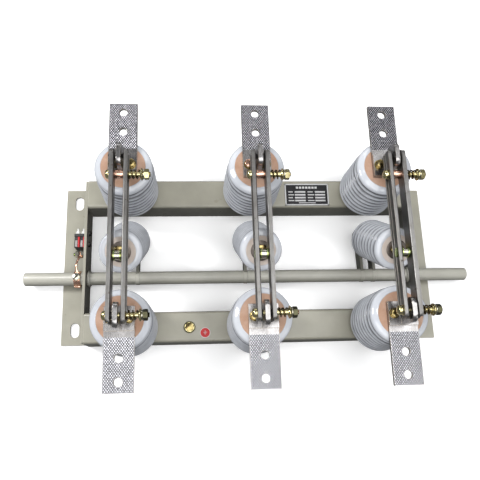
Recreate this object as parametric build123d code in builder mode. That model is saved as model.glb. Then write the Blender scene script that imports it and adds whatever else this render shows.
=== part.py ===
"""Three-pole knife disconnect switch for indoor medium-voltage switchgear.

The switch lies flat on its frame: the frame's underside is Z = 0, the shaft runs along X, the
hinge row of insulators is at -Y and the jaw row is at +Y. X = 0 is the centre pole and Y = 0 is
midway between the two rows. The blades are modelled closed. All sizes are millimetres.
"""

import os
from math import atan2, cos, degrees, hypot, radians, sin

from build123d import *

# Layout of the poles and rows
pole_pitch = 250.0
row_pitch = 285.0
poles = {"left": -pole_pitch, "centre": 0.0, "right": pole_pitch}
rows = {"hinge": -1, "jaw": 1}

# Frame: two channel rails welded between two end angles
rail_length = 679.0
rail_width = 62.0
rail_inset = 1.5
frame_height = 56.0
rail_wall = 4.0
rail_bend = 6.0
end_wall = 5.0
end_depth = 338.0
end_flange = 50.0
slot_length = 30.0
slot_width = 18.0
slot_pitch = 277.0
slot_from_web = 23.0

# Post insulators: porcelain with rounded ribs and an unglazed end face
post_height = 133.0
post_face_radius = 42.5
post_rim_radius = 54.0
post_core_radius = 43.0
post_foot_radius = 41.0
post_rib_low = 57.5
post_rib_high = 56.0
post_rib_count = 7
post_rib_pitch = 13.6
post_foot_height = 9.0

# Contacts: a terminal bar and a foot plate with an upright tab
bar_width = 53.0
bar_thickness = 6.0
bar_reach = 126.0
bar_tail = 22.0
bar_hole = 15.0
bar_hole_outer_at = 107.5
bar_hole_pitch = 40.0
foot_thickness = 4.0
foot_half_length = 21.5
tab_thickness = 8.0
tab_height = 52.0
tab_corner = 12.0
contact_bolt_at = 16.0
contact_bolt_across = 17.0
contact_bolt_head = 8.4
post_bolt_across = 24.0
post_bolt_head = 12.0

# Blades: two channels for each pole, with their backs to the tab
blade_gap = 17.0
blade_flange = 7.5
blade_height = 28.0
blade_wall = 3.0
blade_bend = 2.5
blade_heel = 15.5
blade_tip = 11.0
blade_corner = 10.0
blade_axis_height = 34.0
dimple_radius = 7.0
dimple_top_radius = 4.0
contact_clearance = 0.3

# Pressure bolts and springs across the blades
bolt_diameter = 10.0
bolt_across = 17.0
bolt_head = 8.4
head_washers = 5.0
washer_radius = 9.5
nut_height = 9.0
bolt_stub = 2.5
jaw_bolt_inset = 35.0
spring_length = 27.0
spring_radius = 8.5
spring_wire = 3.0
spring_turns = 2.5
cup_radius = 11.0
cup_thickness = 5.0
cup_slope = 25.0
running_clearance = 0.3

# Operating shaft, cranks and draw rods
shaft_diameter = 27.0
shaft_length = 934.0
shaft_y = -34.5
shaft_z = 28.0
shaft_chamfer = 1.5
collar_radius = 16.5
collar_width = 5.0
bush_radius = 16.0
bearing_radius = 18.0
bearing_flange = 3.0
ring_radius = 16.5
ring_width = 2.0
clamp_gap = 2.0
clamp_width = 14.0
clamp_radius = 18.0
clamp_ear = 12.0
clamp_slit = 3.0
crank_radius = 90.0
crank_angle = -4.5
crank_gap = 20.0
crank_plate = 6.0
crank_end_radius = 14.0
crank_hub_radius = 17.0
crank_tube_radius = 14.5
crank_play = 2.0
draw_pin_from_hinge = 102.5
draw_pin_diameter = 10.0
cross_nut = 4.0
draw_eye_width = 13.0
draw_eye_radius = 10.0
draw_lower_eye_width = 18.0
draw_top_gap = 38.0
draw_body_length = 150.0
draw_rim_radius = 39.0
draw_rib_high = 39.5
draw_rib_low = 42.0
draw_core_radius = 31.0
draw_face_radius = 28.0
draw_rib_count = 8
draw_insert_radius = 20.0
draw_stud_radius = 7.0

# Small fittings on the frame
plate_size = (96.0, 50.0, 1.0)
plate_centre = (124.0, 139.0)
earth_bolt_at = (-131.0, -142.5)
block_size = (22.0, 44.0, 30.0)
block_y = 50.0
block_z = 33.0
block_screw_pitch = 24.0

# Worked-out heights and places
face_z = frame_height + post_height
bar_top = face_z + bar_thickness
foot_top = bar_top + foot_thickness
axis_z = foot_top + blade_axis_height
hinge_y = -row_pitch / 2
jaw_y = row_pitch / 2
jaw_bolt_y = jaw_y - jaw_bolt_inset
web_face = rail_length / 2
ring_start = web_face + end_wall + bearing_flange + 0.5
draw_top = (hinge_y + draw_pin_from_hinge, axis_z)
draw_low = (
    shaft_y + crank_radius * cos(radians(crank_angle)),
    shaft_z + crank_radius * sin(radians(crank_angle)),
)
draw_length = hypot(draw_low[0] - draw_top[0], draw_low[1] - draw_top[1])
draw_lean = degrees(atan2(draw_low[0] - draw_top[0], draw_top[1] - draw_low[1]))

os.makedirs("parts", exist_ok=True)


def save(piece, name):
    """Label a finished piece and write it to its STEP file."""
    piece.part.label = name
    export_step(piece.part, f"parts/{name}.step")


def ribbed_body(start, count, pitch, core, low, high):
    """Draw the ribs of an insulator in the current line, from z = start upwards."""
    for index in range(count):
        rib = low + (high - low) * index / max(count - 1, 1)
        foot = start + index * pitch
        Polyline(
            (core, foot),
            (rib, foot + 0.25 * pitch),
            (rib, foot + 0.75 * pitch),
            (core, foot + pitch),
        )


# End angles, with slots for the fixing bolts and a bore for the shaft bearing
for side_name, side in {"left": -1, "right": 1}.items():
    with BuildPart() as end_angle:
        with BuildSketch(Plane.XZ) as end_profile:
            with BuildLine():
                Polyline(
                    (side * web_face, 0),
                    (side * (web_face + end_wall + end_flange), 0),
                    (side * (web_face + end_wall + end_flange), end_wall),
                    (side * (web_face + end_wall), end_wall),
                    (side * (web_face + end_wall), frame_height),
                    (side * web_face, frame_height),
                    close=True,
                )
            make_face()
        extrude(amount=end_depth / 2, both=True)
        with BuildSketch(Plane.XY):
            with Locations(*[(side * (web_face + end_wall + slot_from_web), end * slot_pitch / 2) for end in (-1, 1)]):
                SlotOverall(slot_length, slot_width, rotation=90)
        extrude(amount=end_wall, mode=Mode.SUBTRACT)
        with BuildSketch(Plane.YZ.offset(side * web_face)):
            with Locations((shaft_y, shaft_z)):
                Circle(bush_radius)
        extrude(amount=side * end_wall, mode=Mode.SUBTRACT)
    save(end_angle, f"end_angle_{side_name}")

    # Bearing bush, with its flange on the outer face of the web
    with BuildPart() as bearing:
        with BuildSketch(Plane.YZ.offset(side * web_face)):
            with Locations((shaft_y, shaft_z)):
                Circle(bush_radius)
        extrude(amount=side * end_wall)
        with BuildSketch(Plane.YZ.offset(side * (web_face + end_wall))):
            with Locations((shaft_y, shaft_z)):
                Circle(bearing_radius)
        extrude(amount=side * bearing_flange)
        with BuildSketch(Plane.YZ.offset(side * web_face)):
            with Locations((shaft_y, shaft_z)):
                Circle(shaft_diameter / 2 + running_clearance)
        extrude(amount=side * (end_wall + bearing_flange), mode=Mode.SUBTRACT)
    save(bearing, f"shaft_bearing_{side_name}")

for row_name, row in rows.items():
    row_y = row * row_pitch / 2

    # Channel rail, open side down
    with BuildPart() as rail:
        with BuildSketch(Plane.YZ.offset(-rail_length / 2)) as rail_profile:
            with Locations((row_y - row * rail_inset, frame_height / 2)):
                Rectangle(rail_width, frame_height)
            fillet(rail_profile.vertices().group_by(Axis.Y)[-1], rail_bend)
            with Locations((row_y - row * rail_inset, (frame_height - rail_wall) / 2)):
                Rectangle(rail_width - 2 * rail_wall, frame_height - rail_wall, mode=Mode.SUBTRACT)
        extrude(amount=rail_length)
    save(rail, f"{row_name}_rail")

    for pole_name, pole_x in poles.items():
        # Post insulator, turned about its own axis
        with BuildPart() as post:
            with BuildSketch(Plane((pole_x, row_y, frame_height), x_dir=(1, 0, 0), z_dir=(0, -1, 0))):
                with BuildLine():
                    ribs_end = post_foot_height + post_rib_count * post_rib_pitch
                    Polyline((0, 0), (post_foot_radius, 0), (post_core_radius, post_foot_height))
                    ribbed_body(
                        post_foot_height,
                        post_rib_count,
                        post_rib_pitch,
                        post_core_radius,
                        post_rib_low,
                        post_rib_high,
                    )
                    rim_middle = (ribs_end + post_height) / 2
                    ThreePointArc(
                        (post_core_radius, ribs_end),
                        (post_rim_radius, rim_middle),
                        (post_face_radius + 2.0, post_height - 1.5),
                    )
                    Polyline(
                        (post_face_radius + 2.0, post_height - 1.5),
                        (post_face_radius, post_height),
                        (0, post_height),
                        (0, 0),
                    )
                make_face()
            revolve(axis=Axis((pole_x, row_y, 0), (0, 0, 1)))
        save(post, f"{pole_name}_pole_{row_name}_insulator")

        # Fixed contact: terminal bar, foot plate and upright tab
        with BuildPart() as contact:
            bar_middle = row_y + row * (bar_reach - bar_tail) / 2
            with BuildSketch(Plane.XY.offset(face_z)):
                with Locations((pole_x, bar_middle)):
                    Rectangle(bar_width, bar_reach + bar_tail)
                for hole_at in (bar_hole_outer_at, bar_hole_outer_at - bar_hole_pitch):
                    with Locations((pole_x, row_y + row * hole_at)):
                        Circle(bar_hole / 2, mode=Mode.SUBTRACT)
            extrude(amount=bar_thickness)
            with BuildSketch(Plane.XY.offset(bar_top)):
                with Locations((pole_x, row_y)):
                    Rectangle(bar_width, 2 * foot_half_length)
            extrude(amount=foot_thickness)
            with BuildSketch(Plane.YZ.offset(pole_x)) as tab_profile:
                with Locations((row_y, foot_top + tab_height / 2)):
                    Rectangle(2 * foot_half_length, tab_height)
                fillet(tab_profile.vertices().group_by(Axis.Y)[-1], tab_corner)
                if row_name == "hinge":
                    with Locations((row_y, axis_z)):
                        Circle(bolt_diameter / 2 + running_clearance, mode=Mode.SUBTRACT)
            extrude(amount=tab_thickness / 2, both=True)
        save(contact, f"{pole_name}_pole_{row_name}_contact")

# Hex bolts that hold each contact on its insulator, and the bolts under the rails that hold the posts
for row_name, row in rows.items():
    row_y = row * row_pitch / 2
    with BuildPart() as contact_bolts:
        places = [(x + end * contact_bolt_at, row_y) for x in poles.values() for end in (-1, 1)]
        with BuildSketch(Plane.XY.offset(foot_top)):
            with Locations(*places):
                RegularPolygon(contact_bolt_across / 2, 6, major_radius=False)
        extrude(amount=contact_bolt_head)
    save(contact_bolts, f"{row_name}_contact_bolts")

    with BuildPart() as post_bolts:
        with BuildSketch(Plane.XY.offset(frame_height - rail_wall)):
            with Locations(*[(x, row_y) for x in poles.values()]):
                RegularPolygon(post_bolt_across / 2, 6, major_radius=False)
        extrude(amount=-post_bolt_head)
    save(post_bolts, f"{row_name}_post_bolts")

# Operating shaft with a retaining collar inside each web
with BuildPart() as shaft:
    with BuildSketch(Plane.YZ.offset(-shaft_length / 2)):
        with Locations((shaft_y, shaft_z)):
            Circle(shaft_diameter / 2)
    extrude(amount=shaft_length)
    chamfer(shaft.edges().group_by(Axis.X)[0] + shaft.edges().group_by(Axis.X)[-1], shaft_chamfer)
    for side in (-1, 1):
        with BuildSketch(Plane.YZ.offset(side * (web_face - 1.0))):
            with Locations((shaft_y, shaft_z)):
                Circle(collar_radius)
        extrude(amount=-side * collar_width)
        with BuildSketch(Plane.YZ.offset(side * ring_start)):
            with Locations((shaft_y, shaft_z)):
                Circle(ring_radius)
        extrude(amount=side * ring_width)
save(shaft, "operating_shaft")

# Earthing clamp on the left end of the shaft: a split band with two ears and a cross bolt
with BuildPart() as earth_clamp:
    clamp_start = -(ring_start + ring_width + clamp_gap)
    with BuildSketch(Plane.YZ.offset(clamp_start)):
        with Locations((shaft_y, shaft_z)):
            Circle(clamp_radius)
        with Locations((shaft_y + clamp_radius + clamp_ear / 2 - 3.0, shaft_z)):
            Rectangle(clamp_ear, clamp_ear)
        with Locations((shaft_y, shaft_z)):
            Circle(shaft_diameter / 2, mode=Mode.SUBTRACT)
        with Locations((shaft_y + clamp_radius + clamp_ear / 2, shaft_z)):
            Rectangle(2 * clamp_ear, clamp_slit, mode=Mode.SUBTRACT)
    extrude(amount=-clamp_width)
    with BuildSketch(Plane.XY.offset(shaft_z - clamp_ear / 2 - 3.0)):
        with Locations((clamp_start - clamp_width / 2, shaft_y + clamp_radius + clamp_ear / 2 - 2.0)):
            RegularPolygon(5.0, 6, major_radius=False)
    extrude(amount=3.0)
    with BuildSketch(Plane.XY.offset(shaft_z - clamp_ear / 2)):
        with Locations((clamp_start - clamp_width / 2, shaft_y + clamp_radius + clamp_ear / 2 - 2.0)):
            Circle(3.0)
    extrude(amount=clamp_ear + 2.0)
    with BuildSketch(Plane.XY.offset(shaft_z + clamp_ear / 2)):
        with Locations((clamp_start - clamp_width / 2, shaft_y + clamp_radius + clamp_ear / 2 - 2.0)):
            RegularPolygon(5.0, 6, major_radius=False)
    extrude(amount=4.0)
save(earth_clamp, "shaft_earth_clamp")

# Stop block: a moulded block on the outer face of the left web, held by two screws
with BuildPart() as stop_block:
    block_face = -(web_face + end_wall)
    with BuildSketch(Plane.YZ.offset(block_face)):
        with Locations((block_y, block_z)):
            RectangleRounded(block_size[1], block_size[2], 2.0)
    extrude(amount=-block_size[0])
save(stop_block, "stop_block")
with BuildPart() as block_screws:
    for end in (-1, 1):
        with BuildSketch(Plane.YZ.offset(-web_face)):
            with Locations((block_y + end * block_screw_pitch / 2, block_z)):
                RegularPolygon(5.0, 6, major_radius=False)
        extrude(amount=4.0)
save(block_screws, "stop_block_nuts")

# Bare rating plate on the jaw rail and the earthing bolt on the hinge rail
with BuildPart() as rating_plate:
    with BuildSketch(Plane.XY.offset(frame_height)):
        with Locations(plate_centre):
            RectangleRounded(plate_size[0], plate_size[1], 1.5)
    extrude(amount=plate_size[2])
save(rating_plate, "rating_plate")
with BuildPart() as earth_bolt:
    with BuildSketch(Plane.XY.offset(frame_height)):
        with Locations(earth_bolt_at):
            RegularPolygon(9.5, 6, major_radius=False)
    extrude(amount=9.5)
save(earth_bolt, "earthing_bolt")

# Crank line on the shaft, from the shaft's axis to the lower pin of the draw rod
crank_line = Plane((0, shaft_y, shaft_z), x_dir=(0, draw_low[0] - shaft_y, draw_low[1] - shaft_z), z_dir=(1, 0, 0))
draw_line = Plane(
    (0, draw_top[0], draw_top[1]),
    x_dir=(1, 0, 0),
    z_dir=(0, draw_low[0] - draw_top[0], draw_low[1] - draw_top[1]),
)

for pole_name, pole_x in poles.items():
    # Crank: two plates and a hub, welded on the shaft
    with BuildPart() as crank:
        for side in (-1, 1):
            with BuildSketch(crank_line.offset(pole_x + side * crank_gap / 2)):
                with BuildLine():
                    hub = CenterArc((0, 0), crank_hub_radius, 90, 180)
                    end = CenterArc((crank_radius, 0), crank_end_radius, -90, 180)
                    Line(hub @ 0, end @ 1)
                    Line(hub @ 1, end @ 0)
                make_face()
                Circle(shaft_diameter / 2, mode=Mode.SUBTRACT)
                with Locations((crank_radius, 0)):
                    Circle(draw_pin_diameter / 2 + crank_play, mode=Mode.SUBTRACT)
            extrude(amount=side * crank_plate)
        with BuildSketch(crank_line.offset(pole_x)):
            Circle(crank_tube_radius)
            Circle(shaft_diameter / 2, mode=Mode.SUBTRACT)
        extrude(amount=crank_gap / 2, both=True)
    save(crank, f"{pole_name}_pole_crank")

    # Blades: channel profile swept along Y, heel and tip corners rounded, contact dimples pressed in
    blade_start = hinge_y - blade_heel
    blade_end = jaw_y + blade_tip
    for side_name, side in {"left": -1, "right": 1}.items():
        back = pole_x + side * blade_gap / 2
        with BuildPart() as blade:
            with BuildSketch(Plane.XZ.offset(-blade_start)) as blade_profile:
                with Locations((back + side * blade_flange / 2, axis_z)):
                    Rectangle(blade_flange, blade_height)
                fillet(blade_profile.vertices().filter_by(lambda v: abs(v.X - back) < 0.1), blade_bend)
                with Locations((back + side * (blade_wall + blade_flange / 2), axis_z)):
                    Rectangle(blade_flange, blade_height - 2 * blade_wall, mode=Mode.SUBTRACT)
            extrude(amount=-(blade_end - blade_start))
            with BuildSketch(Plane.YZ.offset(back)) as blade_outline:
                with Locations(((blade_start + blade_end) / 2, axis_z)):
                    Rectangle(blade_end - blade_start, blade_height)
                fillet(blade_outline.vertices(), blade_corner)
            extrude(amount=side * blade_flange, mode=Mode.INTERSECT)
            dimple_depth = (blade_gap - tab_thickness) / 2 - contact_clearance
            dimple_slope = degrees(atan2(dimple_radius - dimple_top_radius, dimple_depth))
            for dimple_y in (hinge_y, jaw_y):
                with BuildSketch(Plane.YZ.offset(back)):
                    with Locations((dimple_y, axis_z)):
                        Circle(dimple_radius)
                extrude(amount=-side * dimple_depth, taper=dimple_slope)
            with BuildSketch(Plane.YZ.offset(back + side * blade_flange)):
                with Locations((hinge_y, axis_z), (jaw_bolt_y, axis_z), (draw_top[0], axis_z)):
                    Circle(bolt_diameter / 2)
            extrude(amount=-side * (blade_flange + blade_gap / 2), mode=Mode.SUBTRACT)
        save(blade, f"{pole_name}_pole_{side_name}_blade")

    # Pressure bolts at hinge and jaw, each with a spring cup under its nut, and the cross bolt of the draw rod
    channel_web = blade_gap / 2 + blade_wall
    spring_start = channel_web
    spring_end = spring_start + spring_length
    nut_start = spring_end + cup_thickness
    with BuildPart() as bolts:
        for bolt_y in (hinge_y, jaw_bolt_y):
            with BuildSketch(Plane.YZ.offset(pole_x - channel_web)):
                with Locations((bolt_y, axis_z)):
                    Circle(bolt_diameter / 2)
            extrude(amount=channel_web + nut_start + nut_height + bolt_stub)
            with BuildSketch(Plane.YZ.offset(pole_x - channel_web)):
                with Locations((bolt_y, axis_z)):
                    Circle(washer_radius)
            extrude(amount=-head_washers)
            with BuildSketch(Plane.YZ.offset(pole_x + spring_end)):
                with Locations((bolt_y, axis_z)):
                    Circle(cup_radius)
            extrude(amount=cup_thickness, taper=cup_slope)
            head_start = -channel_web - head_washers - bolt_head
            for hex_start, hex_height in ((head_start, bolt_head), (nut_start, nut_height)):
                with BuildSketch(Plane.YZ.offset(pole_x + hex_start)):
                    with Locations((bolt_y, axis_z)):
                        RegularPolygon(bolt_across / 2, 6, major_radius=False)
                extrude(amount=hex_height)
        with BuildSketch(Plane.YZ.offset(pole_x)):
            with Locations((draw_top[0], axis_z)):
                Circle(draw_pin_diameter / 2)
        extrude(amount=channel_web + cross_nut / 2, both=True)
        for side in (-1, 1):
            with BuildSketch(Plane.YZ.offset(pole_x + side * channel_web)):
                with Locations((draw_top[0], axis_z)):
                    RegularPolygon(draw_pin_diameter / 2 + 3.0, 6, major_radius=False)
            extrude(amount=side * cross_nut)
    save(bolts, f"{pole_name}_pole_bolts")

    # Compression springs on the pressure bolts
    with BuildPart() as springs:
        for bolt_y in (hinge_y, jaw_bolt_y):
            spring_path = Helix(
                pitch=(spring_length - spring_wire) / spring_turns,
                height=spring_length - spring_wire,
                radius=spring_radius,
                center=(pole_x + spring_start + spring_wire / 2, bolt_y, axis_z),
                direction=(1, 0, 0),
            )
            with BuildSketch(Plane(spring_path @ 0, z_dir=spring_path % 0)):
                Rectangle(spring_wire * 0.85, spring_wire * 0.85)
            sweep(path=spring_path, is_frenet=True)
    save(springs, f"{pole_name}_pole_springs")

    # Distance tube between the blades on the jaw bolt
    with BuildPart() as spacer:
        with BuildSketch(Plane.YZ.offset(pole_x - blade_gap / 2)):
            with Locations((jaw_bolt_y, axis_z)):
                Circle(bolt_diameter / 2 + 3.0)
                Circle(bolt_diameter / 2, mode=Mode.SUBTRACT)
        extrude(amount=blade_gap)
    save(spacer, f"{pole_name}_pole_spacer")

    # Draw-rod insulator, turned about the line between its two pins
    pole_line = Plane((pole_x, draw_top[0], draw_top[1]), x_dir=draw_line.x_dir, z_dir=draw_line.z_dir)
    draw_axis = Axis(pole_line.origin, pole_line.z_dir)
    draw_bottom = draw_top_gap + draw_body_length
    with BuildPart() as draw_insulator:
        with BuildSketch(Plane(pole_line.origin, x_dir=pole_line.x_dir, z_dir=-pole_line.y_dir)):
            with BuildLine():
                rib_start = draw_top_gap + 16.0
                rib_pitch = (draw_body_length - 24.0) / draw_rib_count
                Polyline(
                    (0, draw_top_gap),
                    (draw_face_radius, draw_top_gap),
                    (draw_rim_radius, draw_top_gap + 4.0),
                    (draw_rim_radius, draw_top_gap + 11.0),
                    (draw_core_radius, rib_start),
                )
                ribbed_body(rib_start, draw_rib_count, rib_pitch, draw_core_radius, draw_rib_high, draw_rib_low)
                Polyline(
                    (draw_core_radius, draw_bottom - 8.0),
                    (draw_core_radius, draw_bottom),
                    (0, draw_bottom),
                    (0, draw_top_gap),
                )
            make_face()
        revolve(axis=draw_axis)
    save(draw_insulator, f"{pole_name}_pole_draw_insulator")

    # Ends of the draw rod: insert, nut and stud with an eye on the cross bolt, and below a nut
    # and stud whose eye carries a bolt that sits with play in the crank plates
    with BuildPart() as draw_ends:
        with BuildSketch(pole_line.offset(draw_top_gap)):
            Circle(draw_insert_radius)
        extrude(amount=-2.0)
        with BuildSketch(pole_line.offset(draw_top_gap - 2.0)):
            RegularPolygon(11.0, 6, major_radius=False)
        extrude(amount=-8.0)
        with BuildSketch(pole_line.offset(draw_top_gap - 8.0)):
            Circle(draw_stud_radius)
        extrude(amount=-(draw_top_gap - 8.0 - draw_eye_radius + 3.0))
        with BuildSketch(Plane.YZ.offset(pole_x)):
            with Locations((draw_top[0], axis_z)):
                Circle(draw_eye_radius)
        extrude(amount=draw_eye_width / 2, both=True)
        with BuildSketch(Plane.YZ.offset(pole_x)):
            with Locations((draw_top[0], axis_z)):
                Circle(draw_pin_diameter / 2 + running_clearance)
        extrude(amount=draw_eye_width, both=True, mode=Mode.SUBTRACT)
        with BuildSketch(pole_line.offset(draw_bottom)):
            RegularPolygon(11.0, 6, major_radius=False)
        extrude(amount=15.0)
        with BuildSketch(pole_line.offset(draw_bottom + 15.0)):
            Circle(draw_stud_radius)
        extrude(amount=draw_length - draw_bottom - 15.0 - draw_eye_radius + 3.0)
        with BuildSketch(Plane.YZ.offset(pole_x)):
            with Locations(draw_low):
                Circle(draw_eye_radius)
        extrude(amount=draw_lower_eye_width / 2, both=True)
        pin_end = crank_gap / 2 + crank_plate + 1.0
        with BuildSketch(Plane.YZ.offset(pole_x)):
            with Locations(draw_low):
                Circle(draw_pin_diameter / 2)
        extrude(amount=pin_end + 3.0, both=True)
        for side in (-1, 1):
            with BuildSketch(Plane.YZ.offset(pole_x + side * pin_end)):
                with Locations(draw_low):
                    RegularPolygon(draw_pin_diameter / 2 + crank_play + 2.5, 6, major_radius=False)
            extrude(amount=side * 3.0)
    save(draw_ends, f"{pole_name}_pole_draw_rod_ends")
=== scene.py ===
"""Finished look of a three-pole knife disconnect switch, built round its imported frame.

X runs along the operating shaft, Y from the hinge insulators to the jaw insulators, and Z up.
Sizes in this file are millimetres. The finished meshes are metres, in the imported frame's axes.
"""

import logging
import math
from collections.abc import Callable, Mapping, Sequence
from dataclasses import dataclass, field
from enum import Enum

import bmesh
import bpy
from mathutils import Matrix, Quaternion, Vector


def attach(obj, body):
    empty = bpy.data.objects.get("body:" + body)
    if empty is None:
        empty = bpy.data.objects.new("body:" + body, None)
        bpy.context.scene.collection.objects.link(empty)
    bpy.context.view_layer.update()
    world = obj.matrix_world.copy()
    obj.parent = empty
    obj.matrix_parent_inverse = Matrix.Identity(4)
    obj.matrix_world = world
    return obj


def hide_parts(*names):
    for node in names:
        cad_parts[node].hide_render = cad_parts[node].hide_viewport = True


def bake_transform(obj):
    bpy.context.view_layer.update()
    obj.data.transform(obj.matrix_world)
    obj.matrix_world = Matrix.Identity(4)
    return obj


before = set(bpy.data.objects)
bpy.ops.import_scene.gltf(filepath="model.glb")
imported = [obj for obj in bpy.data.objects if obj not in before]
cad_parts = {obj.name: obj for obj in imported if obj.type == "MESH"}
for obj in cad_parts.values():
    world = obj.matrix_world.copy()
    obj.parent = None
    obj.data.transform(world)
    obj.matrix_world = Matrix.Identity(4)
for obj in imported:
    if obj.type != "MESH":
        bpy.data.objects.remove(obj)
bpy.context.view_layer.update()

log = logging.getLogger("disconnect_switch")

Colour = tuple[float, float, float]
Place = tuple[float, float, float]
Profile = list[tuple[float, float]]
Mesh = bmesh.types.BMesh
Point = bmesh.types.BMVert
Socket = bpy.types.NodeSocket

MM = 0.001
RAIL_TOP = 56.0
ROW_FROM_MIDDLE = 142.5
BLADE_AXIS = 233.0
CROSS_BOLT_Y = -40.0
X_WAY, Y_WAY, Z_WAY = (1, 0, 0), (0, 1, 0), (0, 0, 1)


class Pole(Enum):
    """The three poles, with the place of each along the shaft."""

    LEFT = -250.0
    CENTRE = 0.0
    RIGHT = 250.0

    @property
    def label(self) -> str:
        """Start of the names of this pole's nodes."""
        return f"{self.name.lower()}_pole"


class Row(Enum):
    """The two rows of post insulators, with the side that each lies on."""

    HINGE = -1
    JAW = 1

    @property
    def label(self) -> str:
        """Name of the row in the node names."""
        return self.name.lower()

    @property
    def y(self) -> float:
        """Place of the row across the frame."""
        return self.value * ROW_FROM_MIDDLE


# Shader helpers


class Shader:
    """A node tree with short calls to add nodes and to join them."""

    def __init__(self, tree: bpy.types.NodeTree) -> None:
        """Keep the tree that the nodes go into."""
        self.tree = tree

    def feed(self, node: bpy.types.Node, inputs: Mapping) -> None:
        """Give a node its inputs.

        Args:
            node: The node that takes them.
            inputs: Sockets, numbers or colours, by the name or number of the input.
        """
        for key, value in inputs.items():
            if isinstance(value, Socket):
                self.tree.links.new(value, node.inputs[key])
            elif isinstance(value, tuple) and len(node.inputs[key].default_value) == 4:
                node.inputs[key].default_value = (*value, 1.0)
            else:
                node.inputs[key].default_value = value

    def node(self, kind: str, inputs: Mapping | None = None, **settings: object) -> bpy.types.Node:
        """Add a node.

        Args:
            kind: Blender's type name of the node.
            inputs: Its inputs, as feed takes them.
            settings: Properties of the node itself.

        Returns:
            The new node.
        """
        made = self.tree.nodes.new(kind)
        for name, value in settings.items():
            setattr(made, name, value)
        self.feed(made, inputs or {})
        return made

    def noise(self, place: Socket, scale: float | Socket, detail: float, roughness: float = 0.5) -> Socket:
        """Add a noise texture and return its value."""
        inputs = {"Vector": place, "Scale": scale, "Detail": detail, "Roughness": roughness}
        return self.node("ShaderNodeTexNoise", inputs).outputs["Fac"]

    def spread(self, value: Socket, low: float, high: float, start: float = 0.0, end: float = 1.0) -> Socket:
        """Map a value from low..high to start..end, held at its ends."""
        inputs = {0: value, 1: low, 2: high, 3: start, 4: end}
        return self.node("ShaderNodeMapRange", inputs, clamp=True).outputs[0]

    def mottle(
        self, place: Socket, scale: float, detail: float, start: float = 0.0, end: float = 1.0
    ) -> Socket:
        """Map the lively middle of a noise to start..end."""
        return self.spread(self.noise(place, scale, detail), 0.3, 0.7, start, end)

    def mix(self, mask: Socket, first: Socket | Colour, second: Socket | Colour) -> Socket:
        """Blend two colours by a mask."""
        return self.node("ShaderNodeMix", {0: mask, 6: first, 7: second}, data_type="RGBA").outputs[2]

    def maths(self, operation: str, first: Socket | float, second: Socket | float) -> Socket:
        """Join two values with a Math operation."""
        return self.node("ShaderNodeMath", {0: first, 1: second}, operation=operation).outputs[0]

    def bump(self, height: Socket, strength: float, depth: float) -> Socket:
        """Turn a height into a bumped normal, depth in millimetres."""
        inputs = {"Height": height, "Strength": strength, "Distance": depth * MM}
        return self.node("ShaderNodeBump", inputs).outputs[0]

    def ragged_depth(self, place: Socket, scale: float, detail: float, reach: float) -> Socket:
        """Read the depth attribute, made uneven by a noise that adds or takes up to reach."""
        depth = self.node("ShaderNodeAttribute", attribute_name="depth").outputs["Fac"]
        return self.maths("ADD", depth, self.mottle(place, scale, detail, -reach, reach))


@dataclass(frozen=True)
class Effect:
    """A pattern that several finishes share, as a node group that is built once."""

    name: str
    inputs: Mapping[str, str]
    output: str
    kind: str
    pattern: Callable[[Shader, Mapping[str, Socket]], Socket]

    def group(self) -> bpy.types.NodeTree:
        """Return the node group, built when it is first asked for.

        Returns:
            The group's node tree.
        """
        known = bpy.data.node_groups.get(self.name)
        if known is not None:
            return known
        made = bpy.data.node_groups.new(self.name, "ShaderNodeTree")
        for way, sockets in (("INPUT", self.inputs), ("OUTPUT", {self.output: self.kind})):
            for label, kind in sockets.items():
                made.interface.new_socket(name=label, in_out=way, socket_type=f"NodeSocket{kind}")
        given, result = made.nodes.new("NodeGroupInput"), made.nodes.new("NodeGroupOutput")
        shader = Shader(made)
        shader.feed(result, {self.output: self.pattern(shader, given.outputs)})
        return made

    def use(self, shader: Shader, **inputs: object) -> Socket:
        """Place the effect in a material and return what it puts out."""
        return shader.node("ShaderNodeGroup", inputs, node_tree=self.group()).outputs[0]


def cloudy(shader: Shader, given: Mapping[str, Socket]) -> Socket:
    """Change softly between two colours."""
    cloud = shader.noise(given["Vector"], given["Scale"], detail=6.0, roughness=0.62)
    return shader.mix(shader.spread(cloud, 0.32, 0.68), given["First"], given["Second"])


def lay_top_light_and_dust(shader: Shader, given: Mapping[str, Socket]) -> Socket:
    """Lay painted top light with thin dusting on faces that look up, thicker in blotches.

    Args:
        shader: Helper for the group's nodes.
        given: The group's inputs, by name.

    Returns:
        The colour with its painted top light and dusting.
    """
    normal = shader.node("ShaderNodeTexCoord").outputs["Normal"]
    up = shader.node("ShaderNodeSeparateXYZ", {0: normal}).outputs["Z"]
    blotch = shader.mottle(given["Vector"], scale=22.0, detail=8.0, start=0.72)
    top_light_and_dust_mask = shader.maths("MULTIPLY", shader.spread(up, 0.2, 0.95), blotch)
    return shader.mix(shader.maths("MULTIPLY", top_light_and_dust_mask, given["Amount"]), given["Colour"], given["Dust"])


def rubbed(shader: Shader, given: Mapping[str, Socket]) -> Socket:
    """Pick ragged spots where a coating is rubbed or chipped.

    Args:
        shader: Helper for the group's nodes.
        given: The group's inputs, by name.

    Returns:
        A mask of the spots.
    """
    coarse = shader.noise(given["Vector"], given["Scale"], detail=8.0, roughness=0.7)
    past = shader.maths("SUBTRACT", coarse, shader.maths("SUBTRACT", 1.0, given["Amount"]))
    return shader.spread(past, 0.0, 0.05)


def drawn(shader: Shader, given: Mapping[str, Socket]) -> Socket:
    """Draw fine streaks along one direction, from a stretched vector.

    Args:
        shader: Helper for the group's nodes.
        given: The group's inputs, by name.

    Returns:
        The strength of the streaks.
    """
    inputs = {0: given["Vector"], 1: given["Stretch"]}
    stretched = shader.node("ShaderNodeVectorMath", inputs, operation="MULTIPLY").outputs[0]
    return shader.mottle(stretched, scale=1.0, detail=4.0)


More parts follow.
